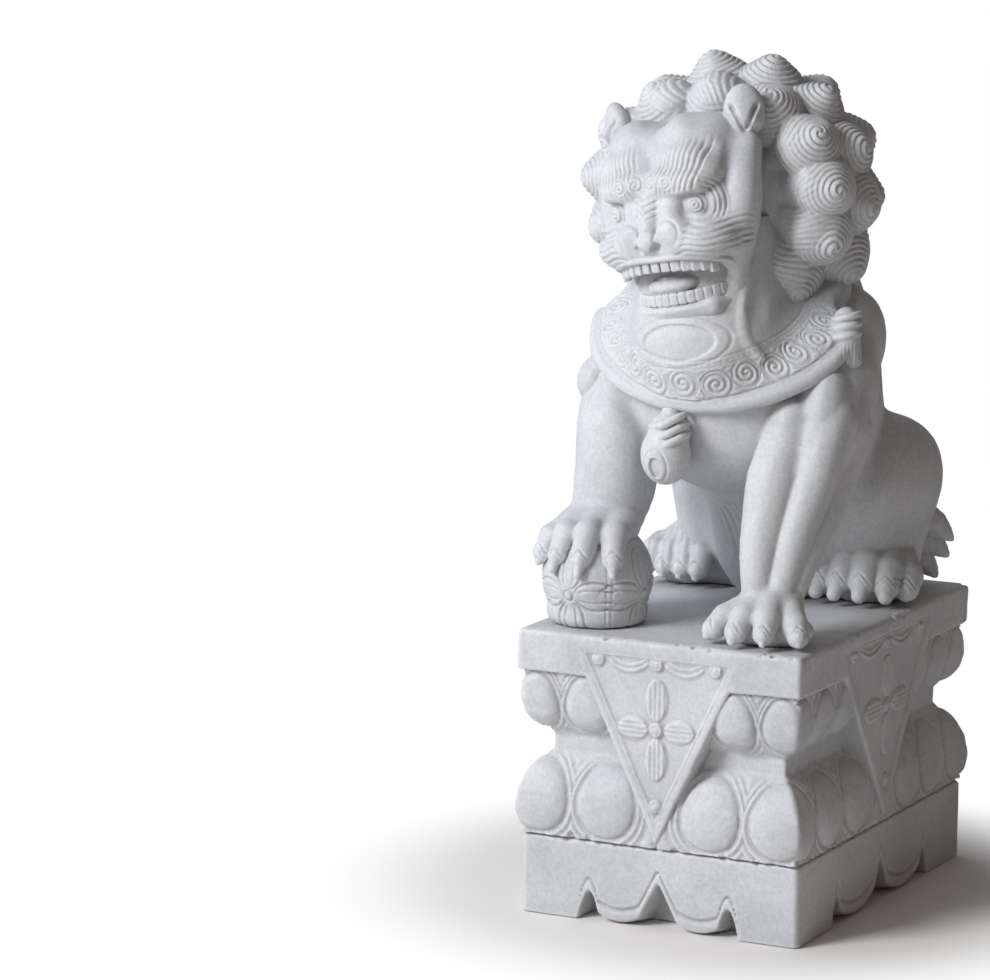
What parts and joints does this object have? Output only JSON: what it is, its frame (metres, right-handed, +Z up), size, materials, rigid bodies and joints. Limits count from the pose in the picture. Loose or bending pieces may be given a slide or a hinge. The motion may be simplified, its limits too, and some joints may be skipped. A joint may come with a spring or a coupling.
{
  "type": "guardian lion statue",
  "caption": "Seated guardian lion with curled mane and collar bell, one paw on a brocade ball, on a stepped lotus pedestal with hanging cloths and a scalloped plinth.",
  "frame": {"origin": "on the floor, at the centre of the plinth's footprint", "axes": "+Z up; the lion looks towards -Y; +X is to the right of a viewer who faces it"},
  "size_m": [0.324, 0.45, 0.8948],
  "materials": {
    "marble": "satin",
    "bedding": "matte",
    "dowel_steel": "satin"
  },
  "bodies": {
    "root": {"plinth_course": "marble", "plinth_bed": "bedding", "plinth_dowel_front": "dowel_steel", "plinth_dowel_back": "dowel_steel", "lotus_pedestal": "marble", "figure_bed_haunches": "bedding", "figure_bed_forepaw": "bedding", "figure_dowel_left": "dowel_steel", "figure_dowel_right": "dowel_steel", "lion_figure": "marble", "ball_bed": "bedding", "ball_dowel": "dowel_steel", "brocade_ball": "marble"}
  },
  "joints": []
}
